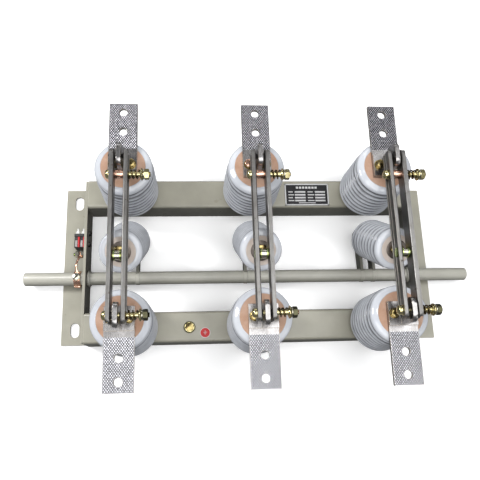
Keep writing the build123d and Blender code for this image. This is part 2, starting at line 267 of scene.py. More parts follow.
VECTOR, SCALE, AMOUNT = {"Vector": "Vector"}, {"Scale": "Float"}, {"Amount": "Float"}
PATCHES = Effect(
    "cloudy_patches", VECTOR | SCALE | {"First": "Color", "Second": "Color"}, "Colour", "Color", cloudy
)
TOP_LIGHT_AND_DUST = Effect(
    "settled_dust", VECTOR | {"Colour": "Color", "Dust": "Color"} | AMOUNT, "Colour", "Color", lay_top_light_and_dust
)
WEAR = Effect("rubbed_spots", VECTOR | SCALE | AMOUNT, "Mask", "Float", rubbed)
BRUSHING = Effect("drawn_streaks", VECTOR | {"Stretch": "Vector"}, "Streaks", "Float", drawn)


# Finishes


@dataclass(frozen=True)
class Finish:
    """A surface finish, made into a material when a piece first asks for it."""

    name: str
    tone: Colour
    shade: Colour

    def patches(self, shader: Shader, place: Socket, scale: float) -> Socket:
        """Return the cloudy change between the finish's two tones."""
        return PATCHES.use(shader, Vector=place, Scale=scale, First=self.tone, Second=self.shade)

    def dress(self, shader: Shader, place: Socket) -> dict:
        """Work out the surface; each kind of finish has its own pattern.

        Args:
            shader: Helper for the material's nodes.
            place: The object's coordinates.

        Returns:
            Sockets and numbers for the surface shader, by the name of its input.
        """
        raise NotImplementedError

    def material(self) -> bpy.types.Material:
        """Return the material of this finish, built when it is first asked for.

        Returns:
            The material.
        """
        known = bpy.data.materials.get(self.name)
        if known is not None:
            return known
        made = bpy.data.materials.new(self.name)
        made.use_nodes = True
        made.node_tree.nodes.clear()
        shader = Shader(made.node_tree)
        skin = shader.node("ShaderNodeBsdfPrincipled")
        shader.node("ShaderNodeOutputMaterial", {"Surface": skin.outputs[0]})
        place = shader.node("ShaderNodeTexCoord").outputs["Object"]
        shader.feed(skin, self.dress(shader, place))
        return made


@dataclass(frozen=True)
class Paint(Finish):
    """Sprayed enamel on steel, with a fine orange peel, painted top light with dusting, and a few chips."""

    chipped: float = 0.0
    # Painted top light with dusting: the colour laid on faces that look up, and how much of it.
    dust: Colour = (0.50, 0.48, 0.395)
    dust_amount: float = 0.92
    bare: Colour = (0.17, 0.14, 0.11)

    def dress(self, shader: Shader, place: Socket) -> dict:
        """Lay cloudy paint, painted top light with dusting on faces that look up, and chips down to steel.

        Args:
            shader: Helper for the material's nodes.
            place: The object's coordinates.

        Returns:
            The surface's inputs, by name.
        """
        coat = self.patches(shader, place, scale=16.0)
        lit_and_dusted = TOP_LIGHT_AND_DUST.use(shader, Vector=place, Colour=coat, Dust=self.dust, Amount=self.dust_amount)
        chips = WEAR.use(shader, Vector=place, Scale=170.0, Amount=0.27 + self.chipped)
        peel = shader.maths("SUBTRACT", shader.noise(place, scale=620.0, detail=2.0), chips)
        return {
            "Base Color": shader.mix(chips, lit_and_dusted, self.bare),
            "Roughness": shader.mottle(place, scale=38.0, detail=5.0, start=0.27, end=0.44),
            "Normal": shader.bump(peel, strength=0.22, depth=0.12),
        }


@dataclass(frozen=True)
class Glaze(Finish):
    """Glossy porcelain glaze, darker and duller down in the grooves as painted shade."""

    # Colour of the painted shade deep in the grooves.
    groove: Colour = (0.06, 0.063, 0.075)
    speck: Colour = (0.20, 0.15, 0.11)

    def dress(self, shader: Shader, place: Socket) -> dict:
        """Lay cloudy glaze with iron specks, and painted shade that follows the depth attribute.

        Args:
            shader: Helper for the material's nodes.
            place: The object's coordinates.

        Returns:
            The surface's inputs, by name.
        """
        cells = shader.node("ShaderNodeTexVoronoi", {"Vector": place, "Scale": 170.0}).outputs["Distance"]
        dots = shader.spread(cells, 0.05, 0.09, 0.75, 0.0)
        rare = shader.spread(shader.noise(place, scale=45.0, detail=2.0), 0.62, 0.68)
        specks = shader.maths("MULTIPLY", dots, rare)
        speckled = shader.mix(specks, self.patches(shader, place, scale=11.0), self.speck)
        # Painted shade: the glaze darkens and dulls towards the bottom of the grooves.
        ragged = shader.ragged_depth(place, scale=60.0, detail=6.0, reach=0.12)
        groove_shade = shader.spread(ragged, 0.08, 0.85, end=0.94)
        return {
            "Base Color": shader.mix(groove_shade, speckled, self.groove),
            "Roughness": shader.spread(groove_shade, 0.0, 0.6, 0.11, 0.5),
            "Normal": shader.bump(shader.noise(place, scale=48.0, detail=2.0), strength=0.10, depth=0.8),
            "Coat Weight": 0.35,
            "Coat Roughness": 0.06,
            "Specular IOR Level": 0.6,
        }


@dataclass(frozen=True)
class Biscuit(Finish):
    """Unglazed porcelain on an end face: tan, matt and stained."""

    stain: Colour = (0.27, 0.15, 0.10)

    def dress(self, shader: Shader, place: Socket) -> dict:
        """Lay warm patches, dark pores and a gritty surface.

        Args:
            shader: Helper for the material's nodes.
            place: The object's coordinates.

        Returns:
            The surface's inputs, by name.
        """
        stains = shader.maths("MULTIPLY", WEAR.use(shader, Vector=place, Scale=90.0, Amount=0.36), 0.45)
        return {
            "Base Color": shader.mix(stains, self.patches(shader, place, scale=34.0), self.stain),
            "Roughness": shader.mottle(place, scale=300.0, detail=3.0, start=0.62, end=0.9),
            "Normal": shader.bump(shader.noise(place, scale=1400.0, detail=3.0), strength=0.5, depth=0.12),
        }


@dataclass(frozen=True)
class Metal(Finish):
    """Bare or plated metal with streaks, patches, and tarnished spots."""

    tarnish: Colour
    tarnished: float
    smooth: float
    rough: float
    patch_scale: float = 45.0
    stretch: Place = (1500.0, 60.0, 1500.0)
    relief: float = 0.10

    def dress(self, shader: Shader, place: Socket) -> dict:
        """Lay patches of two tones, tarnish spots, and streaks in gloss and relief.

        Args:
            shader: Helper for the material's nodes.
            place: The object's coordinates.

        Returns:
            The surface's inputs, by name.
        """
        spots = WEAR.use(shader, Vector=place, Scale=self.patch_scale * 2.4, Amount=self.tarnished)
        soft = shader.maths("MULTIPLY", spots, 0.7)
        streaks = BRUSHING.use(shader, Vector=place, Stretch=self.stretch)
        coat = self.patches(shader, place, self.patch_scale)
        streaked = shader.mix(shader.maths("MULTIPLY", streaks, 0.28), coat, self.shade)
        gloss = shader.maths("ADD", shader.spread(streaks, 0.0, 1.0, self.smooth, self.rough), soft)
        return {
            "Base Color": shader.mix(soft, streaked, self.tarnish),
            "Metallic": 1.0,
            "Roughness": shader.spread(gloss, 0.0, 1.0, end=0.9),
            "Normal": shader.bump(streaks, self.relief, depth=0.1),
        }


@dataclass(frozen=True)
class Knurled(Metal):
    """Plated metal whose knurled grooves are darkened with painted shade."""

    # Colour of the painted shade at the bottom of the knurling.
    groove: Colour = (0.17, 0.168, 0.175)

    def dress(self, shader: Shader, place: Socket) -> dict:
        """Darken and dull the metal towards the bottom of the grooves.

        Args:
            shader: Helper for the material's nodes.
            place: The object's coordinates.

        Returns:
            The surface's inputs, by name.
        """
        surface = super().dress(shader, place)
        # Painted shade: darker and duller towards the bottom of the knurling.
        ragged = shader.ragged_depth(place, scale=240.0, detail=3.0, reach=0.18)
        knurl_shade = shader.spread(ragged, 0.25, 0.75, end=0.97)
        surface["Base Color"] = shader.mix(knurl_shade, surface["Base Color"], self.groove)
        surface["Roughness"] = shader.maths("ADD", surface["Roughness"], shader.maths("MULTIPLY", knurl_shade, 0.3))
        return surface


@dataclass(frozen=True)
class Moulding(Finish):
    """Plain moulded or enamelled surface with a fine grain and light scuffs."""

    scuff: Colour
    smooth: float
    rough: float

    def dress(self, shader: Shader, place: Socket) -> dict:
        """Lay an even colour with scuffed spots and a grained surface.

        Args:
            shader: Helper for the material's nodes.
            place: The object's coordinates.

        Returns:
            The surface's inputs, by name.
        """
        scuffs = shader.maths("MULTIPLY", WEAR.use(shader, Vector=place, Scale=260.0, Amount=0.34), 0.4)
        return {
            "Base Color": shader.mix(scuffs, self.patches(shader, place, scale=90.0), self.scuff),
            "Roughness": shader.mottle(place, scale=120.0, detail=4.0, start=self.smooth, end=self.rough),
            "Normal": shader.bump(shader.noise(place, scale=700.0, detail=2.0), strength=0.2, depth=0.08),
        }


# After the two tones, a paint has its chips and then, where given, the colour of its painted top light with
# dusting on faces that look up.
FRAME_PAINT = Paint("grey_beige_enamel", (0.20, 0.195, 0.165), (0.15, 0.147, 0.125), 0.0, (0.385, 0.37, 0.30))
# Painted highlight: the rounded edges of the frame are much lighter than its paint; the chips on them are
# real wear.
FRAME_EDGE_HIGHLIGHT = Paint("grey_beige_enamel_on_edges", (0.60, 0.58, 0.49), (0.52, 0.50, 0.42), 0.06)
# Lit copy of the frame paint: the shaft and the beads on it get a lighter tone and top colour as painted
# light.
SHAFT_LIT_PAINT = Paint(
    "grey_beige_enamel_on_shaft", (0.33, 0.325, 0.28), (0.27, 0.265, 0.23), 0.03, (0.50, 0.49, 0.43)
)
SHADED_PAINT = Paint("shaded_enamel", (0.13, 0.128, 0.11), (0.09, 0.088, 0.078), 0.02, (0.20, 0.195, 0.165))
GLAZE = Glaze("pale_blue_grey_glaze", (0.60, 0.62, 0.66), (0.51, 0.53, 0.575))
BISCUIT = Biscuit("tan_unglazed_face", (0.39, 0.225, 0.145), (0.50, 0.335, 0.25))
PALE_BISCUIT = Biscuit("pale_unglazed_ring", (0.50, 0.42, 0.36), (0.60, 0.53, 0.48))

# After the two tones, a metal has its tarnish and how much of it, then the smoothest and roughest gloss.
BLADE_STREAKS = {"stretch": (900.0, 30.0, 900.0), "relief": 0.07}
TIN = Metal(
    "tinned_copper_bar", (0.44, 0.43, 0.43), (0.27, 0.26, 0.255), (0.22, 0.16, 0.12), 0.34, 0.22, 0.42, 62.0
)
# Rounded edges of the bars: real wear with copper showing, and lighter than the bar as a painted highlight.
TIN_WORN_EDGE_HIGHLIGHT = Metal(
    "tinned_copper_worn_edge", (0.62, 0.58, 0.52), (0.44, 0.36, 0.26), (0.30, 0.18, 0.11), 0.40, 0.2, 0.4
)
BLADE_TIN = Metal(
    "tinned_copper_blade", (0.235, 0.233, 0.228), (0.165, 0.158, 0.15), (0.13, 0.095, 0.068),
    0.37, 0.36, 0.54, 48.0, **BLADE_STREAKS,
)
# Painted highlight: the blades' rounded bends are a lighter copy of the blade tin, with its real tarnish.
BLADE_BEND_HIGHLIGHT = Metal(
    "tinned_copper_blade_bend", (0.36, 0.348, 0.325), (0.25, 0.222, 0.19), (0.18, 0.125, 0.08),
    0.36, 0.32, 0.5, 70.0, **BLADE_STREAKS,
)
KNURL = Knurled("knurled_tin", (0.80, 0.80, 0.85), (0.66, 0.66, 0.70), (0.36, 0.33, 0.30), 0.26, 0.36, 0.50)
# Painted shade: the jaw row's pads are a darker copy of the knurled tin, with near-black grooves.
JAW_KNURL_SHADED = Knurled(
    "knurled_tin_shaded_jaw_row", (0.86, 0.85, 0.90), (0.72, 0.71, 0.76), (0.30, 0.27, 0.25),
    0.26, 0.34, 0.46, groove=(0.012, 0.012, 0.013),
)
INSERT_STEEL = Metal(
    "rough_grey_insert", (0.20, 0.175, 0.155), (0.10, 0.085, 0.075), (0.12, 0.075, 0.05),
    0.40, 0.35, 0.6, 110.0, (400.0, 400.0, 400.0), 0.4,
)


def small_metal(name: str, *values: object) -> Metal:
    """Return the finish of a small plated or bare piece, whose pattern is fine and has no direction."""
    return Metal(name, *values, patch_scale=160.0, stretch=(700.0, 700.0, 700.0), relief=0.06)


ZINC_GOLD = small_metal(
    "yellow_zinc", (0.48, 0.36, 0.15), (0.24, 0.20, 0.09), (0.09, 0.065, 0.03), 0.42, 0.12, 0.3
)
ZINC_YELLOW = small_metal(
    "pale_yellow_zinc", (0.72, 0.65, 0.38), (0.42, 0.36, 0.17), (0.13, 0.10, 0.04), 0.34, 0.12, 0.3
)
ZINC_PALE = small_metal(
    "pale_zinc", (0.70, 0.68, 0.59), (0.42, 0.40, 0.32), (0.15, 0.13, 0.08), 0.34, 0.14, 0.32
)
ZINC_GREEN = small_metal(
    "greenish_zinc", (0.50, 0.60, 0.24), (0.34, 0.42, 0.16), (0.20, 0.18, 0.06), 0.34, 0.14, 0.3
)
OLIVE_STEEL = small_metal(
    "olive_steel", (0.09, 0.088, 0.05), (0.045, 0.042, 0.025), (0.16, 0.13, 0.06), 0.34, 0.16, 0.4
)
SPRING_STEEL = small_metal(
    "bronzed_spring_steel", (0.20, 0.145, 0.06), (0.07, 0.058, 0.028), (0.03, 0.024, 0.012), 0.36, 0.14, 0.34
)
DARK_STEEL = small_metal(
    "blackened_steel", (0.12, 0.12, 0.11), (0.07, 0.07, 0.065), (0.16, 0.11, 0.07), 0.3, 0.3, 0.5
)
COPPER = small_metal(
    "bare_copper", (0.88, 0.58, 0.44), (0.66, 0.36, 0.25), (0.36, 0.17, 0.11), 0.34, 0.16, 0.34
)
BLACK_MOULDING = Moulding(
    "black_moulding", (0.02, 0.02, 0.022), (0.035, 0.035, 0.038), (0.12, 0.12, 0.12), 0.35, 0.55
)
PLATE_ENAMEL = Moulding(
    "black_plate_enamel", (0.004, 0.004, 0.006), (0.008, 0.008, 0.011), (0.04, 0.04, 0.04), 0.5, 0.7
)
PLATE_PRINT = Moulding("pale_plate_print", (0.66, 0.66, 0.66), (0.56, 0.56, 0.56), (0.4, 0.4, 0.4), 0.4, 0.6)
RED_MOULDING = Moulding(
    "red_moulding", (0.58, 0.008, 0.012), (0.46, 0.006, 0.01), (0.6, 0.12, 0.1), 0.4, 0.55
)
WHITE_MOULDING = Moulding(
    "white_moulding", (0.86, 0.86, 0.84), (0.74, 0.74, 0.72), (0.5, 0.5, 0.48), 0.3, 0.45
)
GREY_STRIP = Moulding("pale_grey_strip", (0.42, 0.41, 0.40), (0.33, 0.32, 0.31), (0.6, 0.6, 0.58), 0.3, 0.45)


# Mesh makers


def close_up(work: Mesh) -> Mesh:
    """Merge doubles and turn every face of a finished shape outwards.

    Args:
        work: The shape, which is changed itself.

    Returns:
        The same shape.
    """
    bmesh.ops.remove_doubles(work, verts=work.verts, dist=1e-4)
    bmesh.ops.recalc_face_normals(work, faces=work.faces)
    return work


def points_in(items: Sequence) -> list[Point]:
    """Return the points among points, edges and faces."""
    return [item for item in items if isinstance(item, Point)]


def turned(profile: Profile, steps: int = 48, closed: bool = False) -> Mesh:
    """Turn a profile about the local Z axis.

    Args:
        profile: Radius and height of each point.
        steps: Number of segments round the axis.
        closed: True if the last point joins the first, as for a ring.

    Returns:
        A mesh of the turned shape.
    """
    work = bmesh.new()
    points = [work.verts.new((radius, 0.0, height)) for radius, height in profile]
    pairs = list(zip(points, points[1:])) + ([(points[-1], points[0])] if closed else [])
    line = points + [work.edges.new(pair) for pair in pairs]
    bmesh.ops.spin(
        work, geom=line, cent=(0, 0, 0), axis=Z_WAY, angle=2 * math.pi, steps=steps, use_merge=True
    )
    return close_up(work)


def ring(
    inner: float, outer: float, start: float, end: float, soft: float, steps: int = 40, lower: bool = True
) -> Mesh:
    """Make a ring or, without a bore, a solid disc, with softened outer corners.

    Args:
        inner: Radius of the bore, or 0 for none.
        outer: Outer radius.
        start: Local z of the lower face.
        end: Local z of the upper face.
        soft: Size of the softened corners.
        steps: Number of segments round the axis.
        lower: True if the lower corner is softened too.

    Returns:
        A mesh of the closed ring.
    """
    low = soft if lower else 0.0
    side = [(outer - low, start), (outer, start + low), (outer, end - soft), (outer - soft, end)]
    return turned([(inner, start), *side, (inner, end)], steps, closed=inner > 0)


def washer(outer: float, inner: float, thickness: float, start: float = 0.0) -> Mesh:
    """Make a flat ring with softened corners, from local z = start upwards."""
    return ring(inner, outer, start, start + thickness, min(0.3, thickness * 0.3))


def disc(radius: float, thickness: float, start: float = 0.0, soft: float = 0.4) -> Mesh:
    """Make a solid disc with a softened upper edge."""
    return ring(0.0, radius, start, start + thickness, soft, 64, lower=False)


def rod(radius: float, start: float, end: float, soft: float = 0.4) -> Mesh:
    """Make a plain round rod with softened ends."""
    return ring(0.0, radius, start, end, soft)


def hexagon(across: float, height: float, start: float = 0.0, both: bool = True) -> Mesh:
    """Make a hexagonal nut or bolt head whose corners are chamfered by a cone.

    Args:
        across: Size across flats.
        height: Height along the local Z axis.
        start: Local z of the lower face.
        both: True if the lower face is chamfered too.

    Returns:
        A mesh of the closed hexagon.
    """
    work = bmesh.new()
    half, end = across / 2, start + height
    face, steepness = half * 0.95, 0.55
    rings = [(True, start, 0.0), (False, start, -steepness)] if both else [(False, start, 0.0)]
    rings += [(False, end, steepness), (True, end, 0.0)]
    newest = bmesh.ops.create_circle(work, cap_ends=False, segments=36, radius=half)["verts"]
    for number, (on_face, level, slope) in enumerate(rings):
        if number:
            known = set(newest)
            rim = [edge for edge in work.edges if known.issuperset(edge.verts)]
            newest = points_in(bmesh.ops.extrude_edge_only(work, edges=rim)["geom"])
        for point in newest:
            turn = math.atan2(point.co.y, point.co.x) % (math.pi / 3)
            side = half / math.cos(turn - math.pi / 6)
            out = Vector((point.co.x, point.co.y, 0.0)).normalized() * (face if on_face else side)
            point.co = out + Vector((0.0, 0.0, level - slope * (side - face)))
    bmesh.ops.holes_fill(work, edges=work.edges, sides=0)
    return close_up(work)


def stud(radius: float, start: float, end: float, pitch: float = 1.5) -> Mesh:
    """Make a threaded end, with ridges all along and a chamfered tip.

    Args:
        radius: Radius over the ridges.
        start: Local z of the plain end.
        end: Local z of the tip.
        pitch: Distance between ridges.

    Returns:
        A mesh of the closed stud.
    """
    root = radius - 0.45 * pitch
    profile: Profile = [(0.0, start)]
    height = start
    while height + pitch < end - 0.8:
        profile += [(root, height), (radius, height + pitch / 2)]
        height += pitch
    tip = [(root, height), (radius - 0.2 * pitch, end - 1.0), (radius - 1.2, end), (0.0, end)]
    return turned(profile + tip, 28)


def coil(radius: float, wire: float, length: float, turns: float) -> Mesh:
    """Make a round-wire compression spring along the local Z axis.

    Args:
        radius: Radius to the middle of the wire.
        wire: Thickness of the wire.
        length: Length over the wire.
        turns: Number of turns.

    Returns:
        A mesh of the closed wire.
    """
    work = bmesh.new()
    steps = round(28 * turns)
    upright = Matrix.Translation((radius, 0.0, wire / 2)) @ Matrix.Rotation(math.pi / 2, 4, "X")
    bmesh.ops.create_circle(work, cap_ends=False, segments=12, radius=wire / 2, matrix=upright)
    climb = (0, 0, (length - wire) / steps)
    bmesh.ops.spin(
        work, geom=work.verts[:] + work.edges[:], cent=(0, 0, 0), axis=Z_WAY,
        dvec=climb, angle=2 * math.pi * turns, steps=steps, use_duplicate=False,
    )
    bmesh.ops.holes_fill(work, edges=work.edges, sides=0)
    return close_up(work)


def block(low: Sequence[float], high: Sequence[float], soft: float = 0.6) -> Mesh:
    """Make a block with rounded edges.

    Args:
        low: Corner with the least x, y and z.
        high: Opposite corner.
        soft: Radius of the edges, held under two fifths of the least side.

    Returns:
        A mesh of the closed block.
    """
    work = bmesh.new()
    size = [b - a for a, b in zip(low, high)]
    middle = Matrix.Translation([(a + b) / 2 for a, b in zip(low, high)])
    bmesh.ops.create_cube(work, size=1.0, matrix=middle @ Matrix.Diagonal((*size, 1.0)))
    rounding = min(soft, min(size) * 0.4)
    bmesh.ops.bevel(
        work, geom=work.edges[:], offset=rounding, offset_type="OFFSET",
        affect="EDGES", segments=3, profile=0.5, material=-1,
    )
    return close_up(work)


def rounded_rib(start: float, pitch: float, core: float, tip: float) -> Profile:
    """Return the outline of one rounded rib, from the groove below it up to the groove above.

    Args:
        start: Height of the groove below.
        pitch: Distance between grooves.
        core: Radius at the bottom of the grooves.
        tip: Radius at the tip.

    Returns:
        Radius and height of each point.
    """
    turns = [math.pi * step / 12 for step in range(12)]
    heights = [start + pitch * (1 - math.cos(turn)) / 2 for turn in turns]
    return [(core + (tip - core) * math.sin(turn) ** 0.75, height) for turn, height in zip(turns, heights)]


def with_depth(work: Mesh, outer: Callable[[float], float], deepest: float = 3.6) -> Mesh:
    """Store on each point how deep it lies below the rib tips, from 0 to 1.

    Args:
        work: A turned mesh, about its local Z axis.
        outer: Gives the radius of the rib tips at a height.
        deepest: Depth that counts as 1.

    Returns:
        The same mesh, with the depth attribute.
    """
    layer = work.verts.layers.float.new("depth")
    for point in work.verts:
        below = outer(point.co.z) - math.hypot(point.co.x, point.co.y)
        point[layer] = min(max(below / deepest, 0.0), 1.0)
    return work


def along(origin: Sequence[float], direction: Sequence[float] = X_WAY, turn: float = 0.0) -> Matrix:
    """Return a matrix whose local Z axis starts at origin and points along direction."""
    aim = Vector(direction).to_track_quat("Z", "Y").to_matrix().to_4x4()
    return Matrix.Translation(origin) @ aim @ Matrix.Rotation(math.radians(turn), 4, "Z")


@dataclass
class Piece:
    """One named piece of the finished model, gathered from parts with their own finishes."""

    name: str
    body: str
    slot: str
    replaces: tuple[str, ...] = ()
    sharp_above: float = 38.0
    bends_to: tuple[str, Vector, Vector] | None = None
    finishes: list[Finish] = field(default_factory=list)
    gathered: Mesh = field(default_factory=bmesh.new)

    def add(self, part: Mesh, finish: Finish, place: Matrix | None = None, flat: bool = False) -> None:
        """Add a part to the piece.

        Args:
            part: A mesh in millimetres, used up by the call.
            finish: The part's finish.
            place: Where the part goes; the frame's own axes if left out.
            flat: True if its faces are shaded flat.
        """
        if finish not in self.finishes:
            self.finishes.append(finish)
        part.transform(place or Matrix.Identity(4))
        for face in part.faces:
            face.material_index = self.finishes.index(finish)
            face.smooth = not flat
        carried = bpy.data.meshes.new("part")
        part.to_mesh(carried)
        part.free()
        self.gathered.from_mesh(carried)
        bpy.data.meshes.remove(carried)

    def stack(self, place: Matrix, *parts: tuple[Mesh, Finish]) -> None:
        """Add several parts, each with its finish, at one place."""
        for part, finish in parts:
            self.add(part, finish, place)

    def finish_off(self) -> None:
        """Turn the gathered parts into an object that rides on its body, or that has no parent when bends_to
        is set.
        """
        self.gathered.transform(Matrix.Diagonal((MM, MM, MM, 1.0)))
        mesh = bpy.data.meshes.new(self.name)
        self.gathered.to_mesh(mesh)
        self.gathered.free()
        mesh.set_sharp_from_angle(angle=math.radians(self.sharp_above))
        for finish in self.finishes:
            mesh.materials.append(finish.material())
        piece = bpy.data.objects.new(self.name, mesh)
        bpy.context.scene.collection.objects.link(piece)
        if self.bends_to is None:
            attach(piece, self.body)
        else:
            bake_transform(piece)
        if self.replaces:
            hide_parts(*self.replaces)
        log.info("%s: %d faces on %s", self.name, len(mesh.polygons), self.body)


def steelwork(name: str, body: str, *replaces: str) -> Piece:
    """Start a piece of zinc-plated steel."""
    return Piece(name, body, "zinc_plated_steel", replaces)


def dress_node(node: str, finish: Finish, edge: Finish | None = None, bevel: float = 0.5) -> None:
    """Give a CAD node its finish and softened edges, with its own mesh left as it is.

    Args:
        node: Name of the node.
        finish: Finish of its faces.
        edge: Finish of the rounded edges, or None for the same one.
        bevel: Width of the rounded edges.
    """
    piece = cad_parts[node]
    piece.data.materials.clear()
    piece.data.materials.append(finish.material())
    weld = piece.modifiers.new("join_facets", "WELD")
    weld.merge_threshold = 2e-6
    flatten = piece.modifiers.new("joined_flats", "DECIMATE")
    flatten.decimate_type = "DISSOLVE"
    flatten.angle_limit = math.radians(0.5)
    soften = piece.modifiers.new("softened_edges", "BEVEL")
    soften.width = bevel * MM
    soften.segments = 2
    soften.limit_method = "ANGLE"
    soften.angle_limit = math.radians(35)
    soften.harden_normals = True
    soften.use_clamp_overlap = True
    if edge is not None:
        piece.data.materials.append(edge.material())
        soften.material = 1
    log.info("%s: dressed in %s", node, finish.name)


# Sub-assemblies


@dataclass
class SteelFrame:
    """Channel rails, end angles and the small things that are fixed to them."""

    rail_wall: float = 4.0
    plate_size: tuple[float, float] = (96.0, 50.0)
    plate_centre: tuple[float, float] = (124.0, 139.0)
    plate_thickness: float = 0.8
    plate_margin: float = 0.4
    plate_border: float = 2.6
    earth_bolt: tuple[float, float] = (-131.0, -142.5)
    label_centre: tuple[float, float] = (-100.0, -154.0)
    label_radius: float = 10.5

    def build(self) -> None:
        """Dress the rails and make everything on them."""
        for node in ("hinge_rail", "jaw_rail", "end_angle_left", "end_angle_right"):
            dress_node(node, FRAME_PAINT, FRAME_EDGE_HIGHLIGHT, 0.9)
        for node in ("shaft_bearing_left", "shaft_bearing_right"):
            dress_node(node, FRAME_PAINT, bevel=0.3)
        self.rating_plate()
        self.earthing_point()
        self.post_bolts()

    def bars(self) -> list[tuple[float, float, float, float]]:
        """Lay out the bars that are printed on the plate.

        Returns:
            Left edge, lower edge, width and height of each bar.
        """
        (wide, deep), margin, border = self.plate_size, self.plate_margin, self.plate_border
        across, up, last = wide - 2 * margin, deep - 2 * margin, margin + border
        bars = [(margin, margin, across, border), (margin, deep - last, across, border)]
        bars += [(margin, margin, border, up), (wide - last, margin, border, up)]
        bars += [(25.0 + place * 6.8, deep - 11.5, 4.9, 4.6) for place in range(7)]
        for line in range(4):
            y = 9.5 + line * 6.6
            for x, name_width, value_width in ((8.0, 12.0, 23.0), (50.0, 14.0, 22.0)):
                bars.append((x, y + 0.6, name_width - line % 2 * 2.5, 2.2))
                bars.append((x + name_width + 2.0, y, value_width, 3.4))
        return [*bars, (30.0, 5.2, 36.0, 1.5)]

    def rating_plate(self) -> None:
        """Make the black plate with a wide pale border and plain bars in place of writing."""
        wide, deep = self.plate_size
        left, low = self.plate_centre[0] - wide / 2, self.plate_centre[1] - deep / 2
        top = RAIL_TOP + self.plate_thickness
        piece = Piece("rating_plate_printed", "frame", "plate_enamel", ("rating_plate",))
        piece.add(block((left, low, RAIL_TOP), (left + wide, low + deep, top), 0.3), PLATE_ENAMEL)
        for x, y, across, up in self.bars():
            corner = (left + x, low + y, top - 0.1)
            far = (corner[0] + across, corner[1] + up, top + 0.1)
            piece.add(block(corner, far, 0.05), PLATE_PRINT, flat=True)
        piece.finish_off()

    def earthing_point(self) -> None:
        """Make the earthing bolt with its washers, and the red disc with an earth sign beside it."""
        bolt = steelwork("earthing_bolt_with_washer", "frame", "earthing_bolt")
        bolt.stack(
            along((*self.earth_bolt, RAIL_TOP), Z_WAY, 12.0),
            (washer(12.0, 5.0, 1.8), OLIVE_STEEL),
            (washer(9.6, 5.0, 1.6, 1.8), ZINC_YELLOW),
            (hexagon(16.0, 6.2, 3.4, both=False), ZINC_GOLD),
        )
        bolt.finish_off()
        label = Piece("red_earth_disc", "frame", "frame_paint")
        place = Matrix.Translation((*self.label_centre, RAIL_TOP))
        label.add(disc(self.label_radius, 0.35, 0.0, 0.1), PLATE_PRINT, place)
        label.add(disc(self.label_radius - 1.1, 0.12, 0.33, 0.04), RED_MOULDING, place)
        strokes = [(half, 0.6 - 1.9 * level, 0.8) for level, half in enumerate((3.6, 2.4, 1.2))]
        for half, low, height in (*strokes, (0.4, 0.6, 4.0)):
            stroke = block((-half, low, 0.4), (half, low + height, 0.52), 0.03)
            label.add(stroke, PLATE_PRINT, place, flat=True)
        label.finish_off()

    def post_bolts(self) -> None:
        """Make the bolts inside the rails that hold the post insulators."""
        for row in Row:
            piece = steelwork(f"{row.label}_post_bolt_set", "frame", f"{row.label}_post_bolts")
            for pole in Pole:
                spot = along((pole.value, row.y, RAIL_TOP - self.rail_wall), (0, 0, -1))
                head = hexagon(24.0, 9.5, 2.5, both=False)
                piece.stack(spot, (washer(15.0, 8.0, 2.5), ZINC_PALE), (head, ZINC_PALE))
            piece.finish_off()


@dataclass
class PostInsulator:
    """Ribbed porcelain post that carries a fixed contact."""

    pole: Pole
    row: Row
    height: float = 133.0
    foot_radius: float = 41.0
    foot_height: float = 9.0
    core_radius: float = 43.0
    rib_low: float = 57.5
    rib_high: float = 56.0
    rib_count: int = 7
    rib_pitch: float = 13.6
    rim_radius: float = 54.0
    waist_radius: float = 47.0
    waist_above_ribs: float = 11.6
    face_radius: float = 42.5
    face_edge: float = 1.4
    face_sink: float = 0.6
    cap_steps: int = 13
    cap_above_ribs: float = 16.0
    steps_round: int = 96

    @property
    def rib_end(self) -> float:
        """Height of the groove over the last rib."""
        return self.foot_height + self.rib_count * self.rib_pitch

    def outline(self) -> Profile:
        """Draw the half section from the axis at the foot to the axis at the end face.

        Returns:
            Radius and height of each point.
        """
        points: Profile = [(0.0, 0.0), (self.foot_radius, 0.0), (self.foot_radius + 1.0, 1.0)]
        points.append((self.core_radius, self.foot_height - 1.0))
        for rib in range(self.rib_count):
            tip = self.rib_low + (self.rib_high - self.rib_low) * rib / (self.rib_count - 1)
            start = self.foot_height + rib * self.rib_pitch
            points += rounded_rib(start, self.rib_pitch, self.core_radius, tip)
        end, face = self.height - self.face_edge, self.face_radius
        waist = self.rib_end + self.waist_above_ribs
        shoulder = face + 1.6
        for low, high, below, above in (
            (self.rib_end, waist, self.core_radius, self.waist_radius),
            (waist, end, self.waist_radius, shoulder),
        ):
            for share in (step / self.cap_steps for step in range(1, self.cap_steps)):
                inner = below + (above - below) * share
                bulge = math.sin(math.pi * share) ** 0.6
                points.append((inner + (self.rim_radius - inner) * bulge, low + (high - low) * share))
        sunk = self.height - self.face_sink
        points += [(shoulder, end), (face + 0.6, self.height - 0.3), (face - 0.4, self.height)]
        return points + [(face - 1.2, sunk), (0.0, sunk)]

    def outer_radius(self, height: float) -> float:
        """Give the radius that depth is measured from.

        Args:
            height: Height over the foot.

        Returns:
            The radius of the rib tips, or of the plain surface, at that height.
        """
        if height < self.foot_height:
            return self.foot_radius
        if height > self.rib_end + self.cap_above_ribs:
            return self.core_radius
        if height > self.rib_end:
            return self.rim_radius
        share = (height - self.foot_height) / (self.rib_end - self.foot_height)
        return self.rib_low + (self.rib_high - self.rib_low) * share

    def build(self) -> None:
        """Make the glazed body and its unglazed end face."""
        place = Matrix.Translation((self.pole.value, self.row.y, RAIL_TOP))
        name = f"{self.pole.label}_{self.row.label}"
        body = Piece(f"{name}_glazed_post", "frame", "porcelain", (f"{name}_insulator",), sharp_above=60.0)
        body.add(with_depth(turned(self.outline(), self.steps_round), self.outer_radius), GLAZE, place)
        body.finish_off()
        face = Piece(f"{name}_end_face", "frame", "porcelain")
        face.add(disc(self.face_radius - 1.0, 0.65, self.height - 0.65, 0.2), BISCUIT, place)
        face.finish_off()


